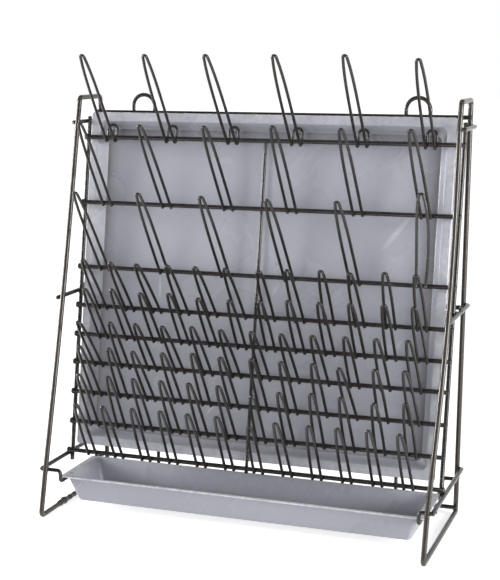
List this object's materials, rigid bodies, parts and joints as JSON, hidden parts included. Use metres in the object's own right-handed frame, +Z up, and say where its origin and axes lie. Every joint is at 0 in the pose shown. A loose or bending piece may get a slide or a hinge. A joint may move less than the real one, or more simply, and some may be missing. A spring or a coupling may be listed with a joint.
{
  "type": "drying pegboard rack",
  "caption": "Free-standing or hanging wire rack with leaning rows of long and short hairpin pegs for drying laboratory glassware, with a back tray and a drip tray.",
  "frame": {"origin": "on the floor under the middle of the rack", "axes": "+X to the right seen from the pegs' side, +Y to the back, +Z up"},
  "size_m": [0.4142, 0.1662, 0.4708],
  "materials": {
    "coated_wire": "satin plastic coating on steel wire",
    "tray_plastic": "satin moulded plastic"
  },
  "bodies": {
    "root": {"back_bar_bottom": "coated_wire", "back_bar_mid": "coated_wire", "back_bar_top": "coated_wire", "back_tray": "tray_plastic", "drip_tray": "tray_plastic", "end_frame_left": "coated_wire", "end_frame_right": "coated_wire", "hanger_wire_left": "coated_wire", "hanger_wire_right": "coated_wire", "peg_bar_1": "coated_wire", "peg_bar_2": "coated_wire", "peg_bar_3": "coated_wire", "peg_bar_4": "coated_wire", "peg_bar_5": "coated_wire", "peg_bar_6": "coated_wire", "peg_bar_7": "coated_wire", "peg_bar_8": "coated_wire", "peg_bar_9": "coated_wire", "peg_row_3_bent": "coated_wire", "pegs_row_1": "coated_wire", "pegs_row_2": "coated_wire", "pegs_row_3": "coated_wire", "pegs_row_4": "coated_wire", "pegs_row_5": "coated_wire", "pegs_row_6": "coated_wire", "pegs_row_7": "coated_wire", "pegs_row_8": "coated_wire", "pegs_row_9": "coated_wire", "strut_bottom_left": "coated_wire", "strut_bottom_right": "coated_wire", "strut_mid_left": "coated_wire", "strut_mid_right": "coated_wire", "strut_top_left": "coated_wire", "strut_top_right": "coated_wire", "tray_rail_left": "coated_wire", "tray_rail_right": "coated_wire", "tray_rest_bar": "coated_wire", "upright_centre": "coated_wire", "upright_left": "coated_wire", "upright_right": "coated_wire"}
  },
  "joints": []
}
